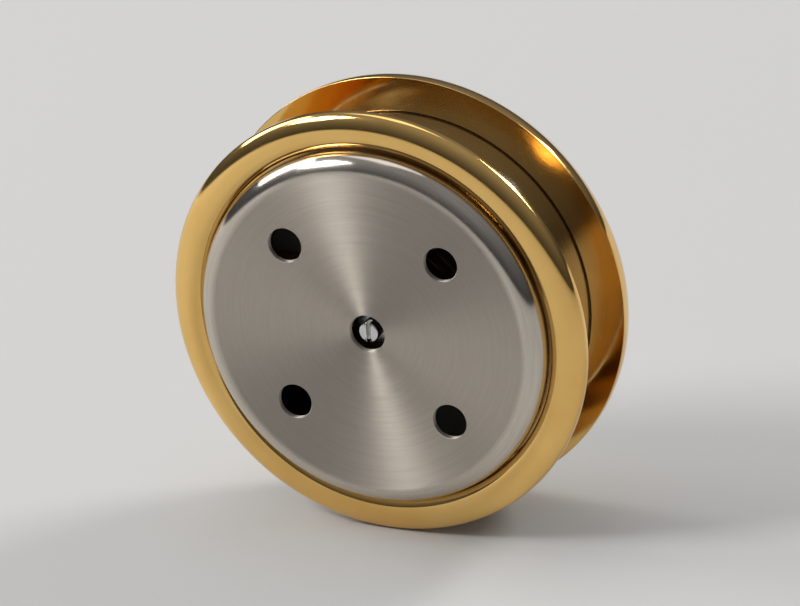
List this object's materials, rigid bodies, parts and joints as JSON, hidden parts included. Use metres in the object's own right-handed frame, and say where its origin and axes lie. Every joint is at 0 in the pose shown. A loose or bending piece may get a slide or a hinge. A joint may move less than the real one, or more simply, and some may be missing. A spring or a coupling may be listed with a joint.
{
  "type": "dial hygrometer",
  "caption": "Round panel-mounted dial hygrometer: vented silver can with a slotted calibration post, coil-driven pointer, glass, and gold front bezel and push-on rear ring.",
  "frame": {"origin": "on the instrument's axis, where the back of the front bezel seats on the panel's outer face", "axes": "+Y along the axis from the dial to the back of the can, +Z towards 12 o'clock on the dial, +X to the right seen from the front"},
  "size_m": [0.045, 0.0158, 0.045],
  "materials": {
    "gold_brass": "polished, lacquered gold",
    "silver_can": "circular-brushed back, polished shoulder",
    "lens": "clear, flat",
    "black_rubber": "matt",
    "spacer_silver": "satin",
    "dial_enamel": "matt off-white with black printing",
    "black_moulding": "matt moulded",
    "movement_brass": "plain stamped brass",
    "bright_steel": "turned, nickel-plated",
    "spring_steel": "tempered, satin",
    "coil_bronze": "laminated strip, dull",
    "pointer_black": "satin black"
  },
  "bodies": {
    "case": {"front_bezel": "gold_brass", "rear_can": "silver_can", "lens_glass": "lens", "lens_gasket": "black_rubber", "dial_spacer_ring": "spacer_silver", "dial_plate": "dial_enamel", "movement_ring": "black_moulding", "movement_bridge": "movement_brass", "bridge_screw_left": "bright_steel", "bridge_screw_right": "bright_steel", "arbor_bush": "movement_brass", "adjuster_bush": "movement_brass"},
    "ring": {"retaining_ring": "gold_brass"},
    "adjuster": {"adjuster_post": "bright_steel", "post_clip": "spring_steel", "friction_washer": "spring_steel", "carrier_arm": "movement_brass", "coil_stud": "movement_brass", "hygro_coil": "coil_bronze"},
    "needle": {"arbor": "bright_steel", "coil_collet": "movement_brass", "pointer_hub": "movement_brass", "pointer": "pointer_black", "pointer_cap": "gold_brass"}
  },
  "joints": [
    {"name": "calibration_turn", "type": "hinge", "parent": "case", "child": "adjuster", "pos_m": [0, 0.0096, 0], "axis": [0, 1, 0], "continuous": true},
    {"name": "pointer_swing", "type": "hinge", "parent": "adjuster", "child": "needle", "pos_m": [0, 0.0015, 0], "axis": [0, 1, 0], "range_deg": [-189, 81], "stiffness_Nm_per_rad": 0.0001},
    {"name": "ring_slide", "type": "slide", "parent": "case", "child": "ring", "axis": [0, 1, 0], "range_m": [-0.005, 0.006]}
  ]
}
